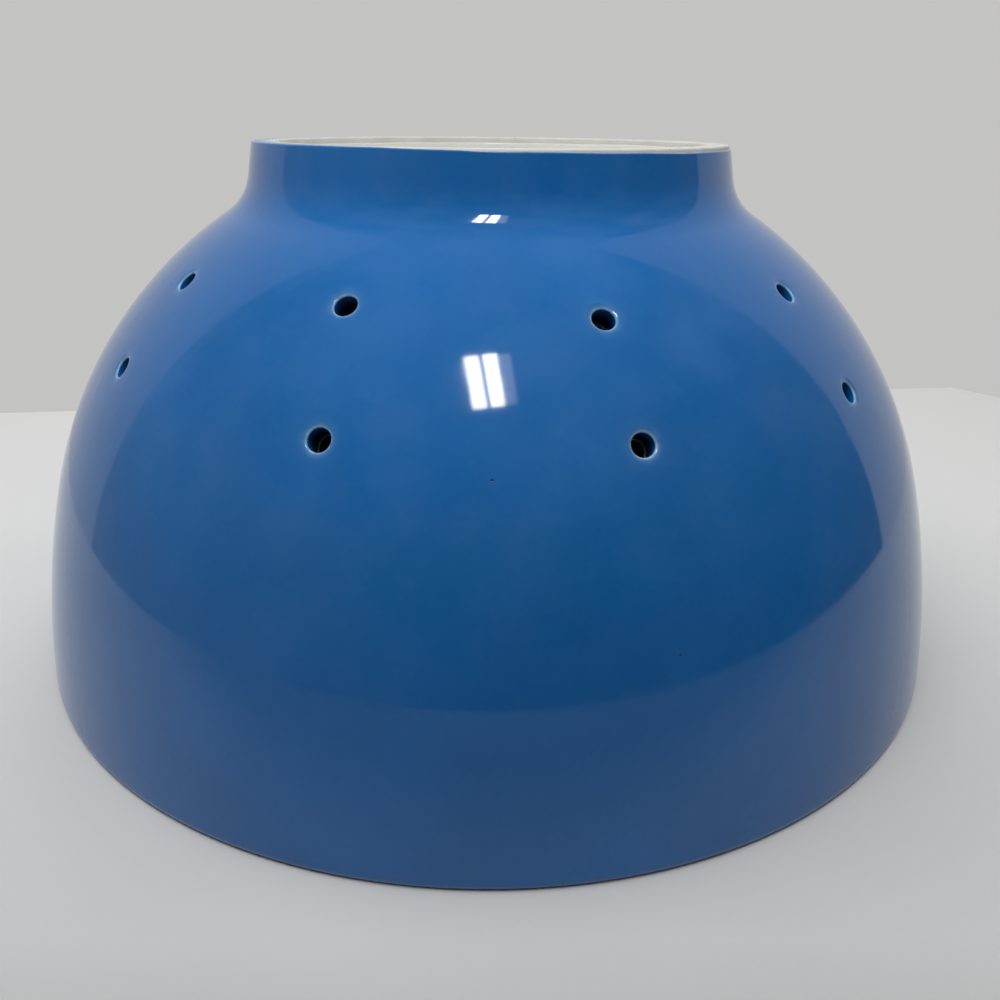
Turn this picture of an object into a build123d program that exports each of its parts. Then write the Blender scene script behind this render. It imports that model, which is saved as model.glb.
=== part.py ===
from build123d import *
import math
import os

# Ceramic colander, turned over on its rim as it dries and is stored.
# One fired clay body carries three fused coats of glaze, each its own solid.
# Origin: centre of the circle that the rim rests on. +Z points up, to the foot ring. Millimetres.

# Rim, wall and glaze
RIM_DIAMETER = 250.0
WALL_THICKNESS = 6.0
GLAZE_THICKNESS = 0.4
LIP_RADIUS = 2.6
LIP_BARE_HALF_WIDTH = 1.3

# Outer curve of the bowl: a slow arc up from the rim, then a tighter one over the shoulder.
# Each angle is the lean of the wall at that place, away from upright.
LOWER_RADIUS = 224.0
UPPER_RADIUS = 112.3
RIM_LEAN = 3.4
SHOULDER_LEAN = 16.4
FOOT_LEAN = 62.0
LIP_OVERRUN = 1.0

# Foot ring
OVERALL_HEIGHT = 130.0
FOOT_DIAMETER = 121.8
FOOT_TAPER = 10.3
FOOT_ROOT_RADIUS = 13.2
FOOT_WALL = 6.5
FOOT_EDGE_RADIUS = 1.0
FOOT_DRAFT = 6.0
BARE_BAND_OUTSIDE = 0.8
BARE_BAND_INSIDE = 1.8

# Base between the bowl and the foot recess
RECESS_DEPTH = 11.0
RECESS_CORNER_RADIUS = 5.0
BASE_THICKNESS = 7.0
BASE_CROWN_RADIUS = 420.0
INSIDE_CORNER_RADIUS = 30.0

# Drain holes, bored square to the wall, their walls lined with the glaze that ran in
HOLE_RADIUS = 2.4
HOLE_GLAZE = 0.3
MOUTH_CHAMFER = 0.4
HOLES_PER_RING = 10
FIRST_HOLE_AZIMUTH = -56.0
BASE_RING_RADIUS = 26.0
BASE_RING_HOLES = 6

# Each ring of the wall: its height, then the turn (degrees) and lift of the front holes, set by hand
UPPER_RING = (101.5, ((1.6, 0.3), (0.2, 0.8), (-1.2, -0.7), (-1.7, -0.3)))
LOWER_RING = (81.6, ((0.4, 2.4), (1.9, -0.4), (0.1, -0.6), (-1.4, 0.0)))

RIM_RADIUS = RIM_DIAMETER / 2
REACH = RIM_DIAMETER
LOWER_CENTRE = Vector(RIM_RADIUS, 0) - Vector(LOWER_RADIUS, 0).rotate(Axis.Z, RIM_LEAN)
UPPER_CENTRE = LOWER_CENTRE + Vector(LOWER_RADIUS - UPPER_RADIUS, 0).rotate(Axis.Z, SHOULDER_LEAN)


def wall_arcs(inset):
    """Two tangent arcs of the bowl wall, set in from the finished outside, from just below the rim plane."""
    start = RIM_LEAN - LIP_OVERRUN
    lower = CenterArc(LOWER_CENTRE, LOWER_RADIUS - inset, start, SHOULDER_LEAN - start)
    upper = CenterArc(UPPER_CENTRE, UPPER_RADIUS - inset, SHOULDER_LEAN, FOOT_LEAN - SHOULDER_LEAN)
    return lower, upper


def under_wall(inset):
    """Half section of everything under one wall curve, down to a little below the rim plane."""
    lower, upper = wall_arcs(inset)
    top = upper @ 1
    low = lower @ 0
    return make_face([lower, upper, Polyline(top, (0, top.Y), (0, low.Y), low)])


def block(low_radius, high_radius, low, high):
    """Plain rectangle of the half section, between two radii and two heights."""
    middle = Pos((low_radius + high_radius) / 2, (low + high) / 2)
    return middle * Rectangle(high_radius - low_radius, high - low)


def corner(half, radius, height):
    """Corner point of a half section nearest to a place."""
    return half.vertices().sort_by_distance((radius, height))[0]


def foot_block(outer_top_radius, slope, low, high):
    """Tapered block of the half section, its side passing through the top radius at the overall height."""
    slant = math.tan(math.radians(slope))
    wide = outer_top_radius + (OVERALL_HEIGHT - low) * slant
    narrow = outer_top_radius + (OVERALL_HEIGHT - high) * slant
    return make_face(Polyline((0, low), (wide, low), (narrow, high), (0, high), close=True))


def section(inset):
    """Half section of the pot, set in all round from the finished surface.

    With no inset it runs over the glaze and is a glaze thickness too long at lip and foot, so that set in by
    the glaze thickness it is the clay at its true height.
    """
    foot_top = OVERALL_HEIGHT + GLAZE_THICKNESS - inset
    foot_outside = FOOT_DIAMETER / 2 - inset
    foot_inside = FOOT_DIAMETER / 2 - FOOT_WALL + inset
    bowl_top = (wall_arcs(inset)[1] @ 1).Y
    pot = under_wall(inset) + foot_block(foot_outside, FOOT_TAPER, OVERALL_HEIGHT / 2, foot_top)
    pot = fillet(corner(pot, foot_outside, bowl_top), FOOT_ROOT_RADIUS + inset)

    recess_floor = OVERALL_HEIGHT - RECESS_DEPTH - inset
    recess = foot_block(foot_inside, -FOOT_DRAFT, recess_floor, 2 * foot_top - recess_floor)
    recess = fillet(corner(recess, foot_inside, recess_floor), RECESS_CORNER_RADIUS + inset)

    crown_radius = BASE_CROWN_RADIUS + inset
    crown_top = OVERALL_HEIGHT - RECESS_DEPTH - BASE_THICKNESS + inset
    crown = Pos(0, crown_top - crown_radius) * Circle(crown_radius)
    inside = under_wall(WALL_THICKNESS - inset) & crown
    inside = fillet(corner(inside, foot_outside, crown_top), INSIDE_CORNER_RADIUS + inset)

    lip = inset - GLAZE_THICKNESS
    half = (pot - recess - inside) & block(0, REACH, lip, foot_top)
    lip_corners = [corner(half, RIM_RADIUS, lip), corner(half, RIM_RADIUS - WALL_THICKNESS, lip)]
    half = fillet(lip_corners, LIP_RADIUS - inset)
    foot_corners = [corner(half, foot_outside, foot_top), corner(half, foot_inside, foot_top)]
    return fillet(foot_corners, FOOT_EDGE_RADIUS - inset)


def turned(half):
    """Solid of revolution about +Z from a half section."""
    return revolve(Plane.XZ * half, axis=Axis.Z)


def wall_seat(height, azimuth):
    """Place on the wall at a height and an azimuth from the front, facing out of the shoulder arc."""
    centre = Vector(UPPER_CENTRE.X, 0, UPPER_CENTRE.Y)
    rise = math.asin((height - centre.Z) / UPPER_RADIUS)
    out = Vector(math.cos(rise), 0, math.sin(rise))
    seat = Plane(origin=centre + out * UPPER_RADIUS, z_dir=out)
    return Rot(0, 0, azimuth - 90) * Location(seat)


def base_seat(radius, azimuth):
    """Place on the floor of the foot recess, facing up out of it."""
    return Rot(0, 0, azimuth - 90) * Pos(radius, 0, OVERALL_HEIGHT - RECESS_DEPTH)


def wall_seats():
    """Places of the two rings of wall holes, the front ones moved as they were set by hand."""
    seats = []
    for height, shifts in (UPPER_RING, LOWER_RING):
        for number in range(HOLES_PER_RING):
            turn, lift = shifts[number] if number < len(shifts) else (0, 0)
            azimuth = FIRST_HOLE_AZIMUTH + number * 360 / HOLES_PER_RING + turn
            seats.append(wall_seat(height + lift, azimuth))
    return seats


def base_seats():
    """Places of the base holes: one in the middle and a ring round it."""
    seats = [base_seat(0, 0)]
    for number in range(BASE_RING_HOLES):
        seats.append(base_seat(BASE_RING_RADIUS, number * 360 / BASE_RING_HOLES))
    return seats


def bores(seats, radius, chamfer=0.0):
    """Round cutters at the given places, each widened at its mouth by a chamfer where one is asked for."""
    cutter = Cylinder(radius, 4 * WALL_THICKNESS)
    if chamfer:
        cutter += Cone(radius, radius + 2 * chamfer, 2 * chamfer)
    return [seat * cutter for seat in seats]


def build_clay(half):
    """Clay body with its holes bored wide enough for the glaze inside them."""
    return turned(half) - bores(wall_seats() + base_seats(), HOLE_RADIUS + HOLE_GLAZE)


def coat_sections(skin):
    """Half sections of the coats outside, in the bowl and in the foot recess, parted at lip and foot."""
    lip = RIM_RADIUS - WALL_THICKNESS / 2
    inner = skin & under_wall(WALL_THICKNESS / 2) & block(0, REACH, 0, OVERALL_HEIGHT)
    inner = inner - block(lip - LIP_BARE_HALF_WIDTH, REACH, -1, 2)

    foot_middle = (FOOT_DIAMETER - FOOT_WALL) / 2
    outer = skin & block(foot_middle, REACH, 0, OVERALL_HEIGHT - BARE_BAND_OUTSIDE)
    outer = outer - under_wall(WALL_THICKNESS / 2) - block(0, lip + LIP_BARE_HALF_WIDTH, -1, 2)

    floor = OVERALL_HEIGHT - RECESS_DEPTH - 1
    recess = skin & block(0, foot_middle, floor, OVERALL_HEIGHT - BARE_BAND_INSIDE)
    return outer, inner, recess


def lined_coat(coat, clay_half, clay):
    """Coat with the glaze that ran into its holes: the coat and the clay as one, less the drilled clay."""
    return (turned(coat + clay_half) - clay).solids().sort_by(SortBy.VOLUME)[-1]


def build_coats(glazed_half, clay_half, clay):
    """Blue coat outside and in the wall holes, white coats in the bowl and in the foot recess."""
    outer, inner, recess = coat_sections(glazed_half - clay_half)
    wall_bores = bores(wall_seats(), HOLE_RADIUS, MOUTH_CHAMFER)
    base_bores = bores(base_seats(), HOLE_RADIUS, MOUTH_CHAMFER)
    blue = lined_coat(outer, clay_half, clay) - wall_bores
    lining = turned(inner) - (wall_bores + base_bores)
    under = lined_coat(recess, clay_half, clay) - base_bores
    return blue, lining, under


def write(node, shape):
    """Write one node as a STEP file, named as the node."""
    export_step(shape, os.path.join("parts", node + ".step"))


os.makedirs("parts", exist_ok=True)
glazed_half = section(0)
clay_half = section(GLAZE_THICKNESS)
stoneware_body = build_clay(clay_half)
blue_coat, white_lining, white_recess = build_coats(glazed_half, clay_half, stoneware_body)
write("stoneware_body", stoneware_body)
write("blue_outer_glaze", blue_coat)
write("white_inside_glaze", white_lining)
write("white_foot_recess_glaze", white_recess)
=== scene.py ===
import logging
import math
from dataclasses import dataclass, field
from enum import Enum
from typing import Callable, Optional, Sequence, Union

import bmesh
import bpy
from mathutils import Matrix, Vector


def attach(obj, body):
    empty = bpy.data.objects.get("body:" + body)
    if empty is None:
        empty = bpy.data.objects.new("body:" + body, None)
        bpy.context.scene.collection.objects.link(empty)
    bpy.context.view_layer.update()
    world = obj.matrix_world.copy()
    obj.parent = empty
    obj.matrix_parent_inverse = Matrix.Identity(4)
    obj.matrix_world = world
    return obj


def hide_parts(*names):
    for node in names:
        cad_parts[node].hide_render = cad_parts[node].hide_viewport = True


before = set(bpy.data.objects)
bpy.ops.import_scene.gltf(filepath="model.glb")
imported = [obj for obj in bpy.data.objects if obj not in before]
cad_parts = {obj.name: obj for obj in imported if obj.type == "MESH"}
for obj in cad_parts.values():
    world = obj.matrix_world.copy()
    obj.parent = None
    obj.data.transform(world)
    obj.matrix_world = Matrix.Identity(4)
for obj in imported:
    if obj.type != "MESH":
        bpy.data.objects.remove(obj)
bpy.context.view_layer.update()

LOG = logging.getLogger("colander")
Colour = tuple[float, float, float]
Wave = tuple[float, float, float]
MM = 0.001
UP = Vector((0.0, 0.0, 1.0))
ORIGIN = (0.0, 0.0, 0.0)

# How a coat begins above the lip: distance along the outline and depth, in millimetres
LIP_ROLL = ((0.05, 0.45), (0.08, 0.20), (0.20, 0.06))
# How a coat's edge rolls down to the clay round the foot: distance past the edge and depth, in millimetres
EDGE_ROLL = ((0.10, 0.03), (0.19, 0.11), (0.25, 0.24), (0.27, 0.45))


# The outline of the pot


def lean(degrees: float) -> Vector:
    """Direction in the half section at an angle from straight outwards, as radius and height."""
    angle = math.radians(degrees)
    return Vector((math.cos(angle), math.sin(angle)))


def bearing(start: Vector, end: Vector) -> float:
    """Angle in degrees of the line from one place of the half section to another."""
    step = end - start
    return math.degrees(math.atan2(step.y, step.x))


def shares(steps: int) -> list[float]:
    """Even shares of a way, the last of them 1."""
    return [number / steps for number in range(1, steps + 1)]


def meeting(first: Vector, first_reach: float, second: Vector, second_reach: float) -> Vector:
    """Outer crossing of two circles of the half section.

    Args:
        first: Centre of the first circle.
        first_reach: Radius of the first circle.
        second: Centre of the second circle.
        second_reach: Radius of the second circle.

    Returns:
        The crossing that lies further from the axis.
    """
    apart = (second - first).length
    along = (apart**2 + first_reach**2 - second_reach**2) / (2 * apart)
    aside = math.sqrt(first_reach**2 - along**2)
    way = (second - first) / apart
    across = Vector((-way.y, way.x)) * aside
    middle = first + way * along
    return max(middle + across, middle - across, key=lambda place: place.x)


@dataclass(frozen=True)
class Arc:
    """Round stretch of the half section, from one angle to another about its centre."""

    centre: Vector
    radius: float
    start: float
    end: float

    def length(self) -> float:
        """Length along the arc."""
        return abs(math.radians(self.end - self.start)) * self.radius

    def place(self, share: float) -> Vector:
        """Place at a share of the way along."""
        return self.centre + lean(self.start + (self.end - self.start) * share) * self.radius


@dataclass(frozen=True)
class Straight:
    """Straight stretch of the half section."""

    start: Vector
    end: Vector

    def length(self) -> float:
        """Length of the stretch."""
        return (self.end - self.start).length

    def place(self, share: float) -> Vector:
        """Place at a share of the way along."""
        return self.start.lerp(self.end, share)


Stretch = Union[Arc, Straight]


@dataclass(frozen=True)
class Outline:
    """Stretches of the half section joined end to end."""

    stretches: tuple[Stretch, ...]

    def length(self) -> float:
        """Length of the whole outline."""
        return sum(stretch.length() for stretch in self.stretches)

    def at(self, distance: float) -> Vector:
        """Place at a distance from the outline's start.

        Args:
            distance: Distance along the outline.

        Returns:
            The place as radius and height, or the outline's end if the distance is longer.
        """
        for stretch in self.stretches:
            if distance <= stretch.length():
                return stretch.place(distance / stretch.length())
            distance -= stretch.length()
        return self.stretches[-1].place(1.0)

    def points(self, spacing: float, turn: float = 12.0) -> list[Vector]:
        """Evenly spaced places along each stretch.

        Args:
            spacing: Longest step between two places.
            turn: Most that an arc may turn between two places, in degrees.

        Returns:
            The places from start to end, with none twice.
        """
        found = [self.stretches[0].place(0.0)]
        for stretch in self.stretches:
            steps = math.ceil(stretch.length() / spacing)
            if isinstance(stretch, Arc):
                steps = max(steps, math.ceil(abs(stretch.end - stretch.start) / turn))
            found += [stretch.place(share) for share in shares(steps)]
        return found


@dataclass(frozen=True)
class PotSizes:
    """Sizes of the finished pot, as its CAD source has them, in metres and degrees."""

    rim_radius: float = 125.0 * MM
    wall: float = 6.0 * MM
    glaze: float = 0.4 * MM
    lip_radius: float = 2.6 * MM
    lower_radius: float = 224.0 * MM
    upper_radius: float = 112.3 * MM
    rim_lean: float = 3.4
    shoulder_lean: float = 16.4
    height: float = 130.0 * MM
    foot_radius: float = 60.9 * MM
    foot_taper: float = 10.3
    root_radius: float = 13.2 * MM
    foot_wall: float = 6.5 * MM
    foot_edge: float = 1.0 * MM
    foot_draft: float = 6.0
    recess_depth: float = 11.0 * MM
    recess_corner: float = 5.0 * MM
    base: float = 7.0 * MM
    crown: float = 420.0 * MM
    inside_corner: float = 30.0 * MM

    def lower_centre(self) -> Vector:
        """Centre of the slow arc above the rim."""
        return Vector((self.rim_radius, 0.0)) - lean(self.rim_lean) * self.lower_radius

    def upper_centre(self) -> Vector:
        """Centre of the tighter arc over the shoulder."""
        return self.lower_centre() + lean(self.shoulder_lean) * (self.lower_radius - self.upper_radius)

    def shoulder_rise(self, height: float) -> float:
        """Angle in degrees at which the shoulder's outer arc stands at a height."""
        return math.degrees(math.asin((height - self.upper_centre().y) / self.upper_radius))

    def lip_centre(self, reach: float) -> Vector:
        """Centre of a round of the lip, at a reach from the centre of the slow arc.

        Args:
            reach: Distance of the round's centre from that of the slow arc.

        Returns:
            The centre as radius and height.
        """
        height = self.lip_radius - self.glaze
        low = self.lower_centre()
        return Vector((low.x + math.sqrt(reach**2 - (height - low.y) ** 2), height))

    def foot_line(self) -> tuple[Vector, Vector]:
        """Top of the foot's outer side and the direction square out of that side."""
        return Vector((self.foot_radius, self.height)), lean(self.foot_taper)

    def recess_line(self) -> tuple[Vector, Vector]:
        """Top of the foot's inner side and the direction square out of that side."""
        return Vector((self.foot_radius - self.foot_wall, self.height)), lean(180.0 - self.foot_draft)

    def beside(self, line: tuple[Vector, Vector], height: float, away: float) -> Vector:
        """Place at a height that stands away from a side of the foot."""
        top, out = line
        return Vector((top.x + (away - (height - top.y) * out.y) / out.x, height))

    def edge_centre(self, line: tuple[Vector, Vector]) -> Vector:
        """Centre of the round between a side of the foot and its crest."""
        return self.beside(line, self.height + self.glaze - self.foot_edge, -self.foot_edge)

    def root_centre(self) -> Vector:
        """Centre of the hollow between bowl and foot.

        Returns:
            The centre as radius and height.
        """
        top, out = self.foot_line()
        start = top + out * self.root_radius
        down = Vector((out.y, -out.x))
        gap = start - self.upper_centre()
        half = gap.dot(down)
        reach = self.upper_radius + self.root_radius
        return start + down * (-half - math.sqrt(half**2 - gap.length_squared + reach**2))

    def outside(self, inset: float) -> Outline:
        """Outside from the lip to the crest of the foot, set in from the finished surface.

        Args:
            inset: How far below the finished surface the outline lies.

        Returns:
            The outline, from the lip upwards.
        """
        low, high, root = self.lower_centre(), self.upper_centre(), self.root_centre()
        lip = self.lip_centre(self.lower_radius - self.lip_radius)
        edge = self.edge_centre(self.foot_line())
        out = self.foot_line()[1]
        lip_turn = bearing(low, lip)
        lip_bend = self.lip_radius - inset
        first = -math.degrees(math.asin(min(1.0, lip.y / lip_bend)))
        root_turn = bearing(high, root)
        foot_end = edge + out * (self.foot_edge - inset)
        root_bend = self.root_radius + inset
        return Outline((
            Arc(lip, lip_bend, first, lip_turn),
            Arc(low, self.lower_radius - inset, lip_turn, self.shoulder_lean),
            Arc(high, self.upper_radius - inset, self.shoulder_lean, root_turn),
            Arc(root, root_bend, root_turn + 180.0, self.foot_taper + 180.0),
            Straight(root - out * root_bend, foot_end),
            Arc(edge, self.foot_edge - inset, self.foot_taper, 90.0),
        ))

    def recess(self, inset: float) -> Outline:
        """Hollow of the foot from its crest down to the axis, set in from the finished surface.

        Args:
            inset: How far below the finished surface the outline lies.

        Returns:
            The outline, from the crest inwards.
        """
        line = self.recess_line()
        edge = self.edge_centre(line)
        floor = self.height - self.recess_depth
        corner = self.beside(line, floor + self.recess_corner, self.recess_corner)
        out = line[1]
        bend = self.recess_corner + inset
        return Outline((
            Arc(edge, self.foot_edge - inset, 90.0, 180.0 - self.foot_draft),
            Straight(edge + out * (self.foot_edge - inset), corner - out * bend),
            Arc(corner, bend, -self.foot_draft, -90.0),
            Straight(Vector((corner.x, floor - inset)), Vector((0.0, floor - inset))),
        ))

    def inside(self, inset: float) -> Outline:
        """Inside of the bowl from the lip to the axis, set in from the finished surface.

        Args:
            inset: How far below the finished surface the outline lies.

        Returns:
            The outline, from the lip upwards.
        """
        low, high = self.lower_centre(), self.upper_centre()
        lip = self.lip_centre(self.lower_radius - self.wall + self.lip_radius)
        crown = Vector((0.0, self.height - self.recess_depth - self.base - self.crown))
        lower_bend = self.lower_radius - self.wall + inset
        upper_bend = self.upper_radius - self.wall + inset
        corner = meeting(
            high, self.upper_radius - self.wall - self.inside_corner,
            crown, self.crown - self.inside_corner,
        )
        lip_turn = bearing(low, lip)
        corner_turn = bearing(high, corner)
        crown_turn = bearing(crown, corner)
        lip_bend = self.lip_radius - inset
        first = math.degrees(math.asin(min(1.0, lip.y / lip_bend))) - 180.0
        return Outline((
            Arc(lip, lip_bend, first, lip_turn - 180.0),
            Arc(low, lower_bend, lip_turn, self.shoulder_lean),
            Arc(high, upper_bend, self.shoulder_lean, corner_turn),
            Arc(corner, self.inside_corner + inset, corner_turn, crown_turn),
            Arc(crown, self.crown + inset, crown_turn, 90.0),
        ))


# Places round the axis, and the holes and the surfaces that they open in


def apart(first: float, second: float) -> float:
    """Smallest angle between two azimuths in degrees."""
    return abs((first - second + 180.0) % 360.0 - 180.0)


def azimuth_of(place: Vector) -> float:
    """Azimuth of a place in degrees from the front."""
    return math.degrees(math.atan2(place.x, -place.y))


def towards(azimuth: float) -> Vector:
    """Level direction at an azimuth in degrees from the front."""
    angle = math.radians(azimuth)
    return Vector((math.sin(angle), -math.cos(angle), 0.0))


def waver(azimuth: float, waves: Sequence[Wave]) -> float:
    """Height of a wavering edge at an azimuth in degrees.

    Args:
        azimuth: Azimuth in degrees from the front.
        waves: Height, number round the axis and phase of each wave.

    Returns:
        How far the edge lies from its middle height.
    """
    angle = math.radians(azimuth)
    return sum(height * math.sin(number * angle + phase) for height, number, phase in waves)


def folded(place: Vector) -> Vector:
    """Place or direction turned about the axis into the half section, as radius and height."""
    return Vector((math.hypot(place.x, place.y), place.z))


def unfolded(across: Vector, azimuth: float) -> Vector:
    """Place or direction of the half section turned about the axis to an azimuth."""
    return towards(azimuth) * across.x + UP * across.y


@dataclass(frozen=True)
class TurnedArc:
    """Surface swept by one arc of the half section, with the clay inside the arc or, if hollow, outside it."""

    centre: Vector
    radius: float
    hollow: bool = False

    def gap(self, place: Vector) -> float:
        """How far a place stands off the surface, on the side away from the clay."""
        away = (folded(place) - self.centre).length - self.radius
        return -away if self.hollow else away


@dataclass(frozen=True)
class Level:
    """Flat surface at one height, with the clay below it."""

    height: float

    def gap(self, place: Vector) -> float:
        """How far a place stands above the surface."""
        return place.z - self.height


Ground = Union[TurnedArc, Level]


@dataclass(frozen=True)
class Seat:
    """Place of one hole on a finished surface.

    Attributes:
        origin: Middle of the hole's mouth.
        out: Direction straight out of the surface there.
        ground: The surface.
        in_block: Says whether the middle of a face lies in the block that gives way to the hole's collar.
    """

    origin: Vector
    out: Vector
    ground: Ground
    in_block: Callable[[Vector], bool]

    def frame(self) -> Matrix:
        """Matrix that carries a mouth modelled at the origin, facing up, onto the seat."""
        turn = self.out.to_track_quat("Z", "Y").to_matrix().to_4x4()
        return Matrix.Translation(self.origin) @ turn

    def split(self, place: Vector) -> tuple[Vector, float]:
        """Part of a place's offset that lies across the hole's axis, and its height along that axis.

        Args:
            place: The place.

        Returns:
            The offset across the axis, and the height.
        """
        offset = place - self.origin
        rise = offset.dot(self.out)
        return offset - self.out * rise, rise

    def surface_rise(self, across: Vector) -> float:
        """Height of the true surface along the hole's axis, at an offset across it.

        Args:
            across: The offset across the axis.

        Returns:
            The height, below 0 where the surface falls away.
        """
        rise = 0.0
        for _ in range(5):
            rise -= self.ground.gap(self.origin + across + self.out * rise)
        return rise


@dataclass(frozen=True)
class HoleForm:
    """Form of a glazed hole: its bore, the tight round of its mouth, the wide soft lip round that, and an apron.

    Attributes:
        bore: Radius of the bore.
        mouth_round: Radius of the tight round between lip and bore.
        lip: Radius of the soft lip.
        lip_turn: Angle in degrees by which the lip falls away from the surface.
        apron: Width of the fine rings outside the lip.
        depth: Depth of the bore below the surface.
        dip: Depth of the slight hollow about the lip.
        dip_reach: Distance over which that hollow fades.
        line: Width of the pale line where the glaze has run thin.
        glow: Distance over which the paler colour about that line fades.
        bore_shade_depth: Depth over which painted shade in the bore grows to its darkest.
        apron_steps: Rings of the apron.
        lip_steps: Rings of the soft lip.
        round_steps: Rings of the tight round.
        tube_steps: Rings of the bore.
        crowding: Power of the apron's ring spacing, below 1 so that its rings crowd towards the lip.
        brink: Share of the tight round within which the glaze is at its thinnest.
        line_thinning: How thin it is in the pale line.
        glow_thinning: How thin it is about that line.
    """

    bore: float = 2.4 * MM
    mouth_round: float = 0.5 * MM
    lip: float = 3.4 * MM
    lip_turn: float = 20.0
    apron: float = 1.4 * MM
    depth: float = 5.4 * MM
    dip: float = 0.04 * MM
    dip_reach: float = 1.8 * MM
    apron_steps: int = 3
    lip_steps: int = 5
    round_steps: int = 7
    tube_steps: int = 4
    line: float = 0.20 * MM
    glow: float = 0.75 * MM
    bore_shade_depth: float = 2.4 * MM
    crowding: float = 0.7
    brink: float = 0.3
    line_thinning: float = 0.52
    glow_thinning: float = 0.20

    def mouth(self) -> float:
        """Radius where the lip leaves the surface."""
        slope = math.sin(math.radians(self.lip_turn))
        return self.bore + self.mouth_round * (1.0 - slope) + self.lip * slope

    def lip_depth(self) -> float:
        """Depth where the soft lip passes into the tight round."""
        return self.lip * (1.0 - math.cos(math.radians(self.lip_turn)))

    def bore_depth(self) -> float:
        """Depth where the tight round passes into the bore."""
        return self.lip_depth() + self.mouth_round * math.cos(math.radians(self.lip_turn))

    def reach(self) -> float:
        """Radius of the outermost ring of the apron."""
        return self.mouth() + self.apron

    def rings(self) -> list[tuple[float, float]]:
        """Radius and depth of each ring of the apron, lip, mouth and bore, from outside inwards.

        Returns:
            One pair for each ring.
        """
        found = [(self.reach() - self.apron * share**self.crowding, 0.0) for share in shares(self.apron_steps)]
        for share in shares(self.lip_steps):
            angle = math.radians(self.lip_turn * share)
            found.append((self.mouth() - self.lip * math.sin(angle), self.lip * (1.0 - math.cos(angle))))
        for share in shares(self.round_steps):
            angle = math.radians(self.lip_turn + (90.0 - self.lip_turn) * share)
            radius = self.bore + self.mouth_round * (1.0 - math.sin(angle))
            found.append((radius, self.bore_depth() - self.mouth_round * math.cos(angle)))
        for share in shares(self.tube_steps):
            found.append((self.bore, self.bore_depth() + (self.depth - self.bore_depth()) * share))
        return found

    def sink(self, radius: float) -> float:
        """Depth of the soft dip at a distance from the hole's axis."""
        beyond = max(0.0, radius - self.mouth()) / self.dip_reach
        return self.dip * math.exp(-(beyond**2))

    def thinning(self, radius: float, depth: float) -> float:
        """How thin the glaze has run, up to 1, on the round of the mouth, or down to -1 for painted shade deep in the
        bore.

        Args:
            radius: Distance from the hole's axis.
            depth: Depth below the surface.

        Returns:
            1 for the thinnest glaze, 0 for the common coat and -1 for the darkest painted shade in the bore.
        """
        brink = self.brink * self.mouth_round
        edge = self.bore_depth() - brink
        # Painted shade: below the round the value turns negative, darker with depth in the bore.
        if depth > edge:
            return -min(1.0, (depth - edge) / self.bore_shade_depth)
        beyond = max(0.0, radius - self.bore - brink)
        line = self.line_thinning * math.exp(-((beyond / self.line) ** 2))
        return line + self.glow_thinning * math.exp(-beyond / self.glow)


@dataclass(frozen=True)
class DrainPattern:
    """Where the holes stand: two rings round the shoulder, and one hole with a ring round it in the base.

    Attributes:
        per_ring: Holes in each ring of the wall.
        first: Azimuth in degrees of the first hole of a ring.
        rings: Height of each ring, and the turn in degrees and lift of its first holes, which were set by hand.
        base_ring: Radius of the ring in the base.
        base_holes: Holes in that ring.
    """

    per_ring: int = 10
    first: float = -56.0
    rings: tuple[tuple[float, tuple[tuple[float, float], ...]], ...] = (
        (101.5 * MM, ((1.6, 0.3 * MM), (0.2, 0.8 * MM), (-1.2, -0.7 * MM), (-1.7, -0.3 * MM))),
        (81.6 * MM, ((0.4, 2.4 * MM), (1.9, -0.4 * MM), (0.1, -0.6 * MM), (-1.4, 0.0))),
    )
    base_ring: float = 26.0 * MM
    base_holes: int = 6

    def wall_places(self) -> list[tuple[float, float]]:
        """Height, and azimuth in degrees from the front, of each hole in the wall.

        Returns:
            One pair for each hole.
        """
        found = []
        for height, shifts in self.rings:
            for number in range(self.per_ring):
                turn, lift = shifts[number] if number < len(shifts) else (0.0, 0.0)
                found.append((height + lift, self.first + number * 360.0 / self.per_ring + turn))
        return found

    def base_places(self) -> list[float]:
        """Azimuth in degrees from the front of each hole of the ring in the base."""
        return [number * 360.0 / self.base_holes for number in range(self.base_holes)]


# Shaping with Blender's own tools


def choose(pieces: Sequence[bpy.types.Object], active: bpy.types.Object) -> None:
    """Select some pieces and nothing else.

    Args:
        pieces: The pieces.
        active: The one of them that is worked on.
    """
    bpy.ops.object.select_all(action="DESELECT")
    for piece in pieces:
        piece.select_set(True)
    bpy.context.view_layer.objects.active = active


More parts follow.
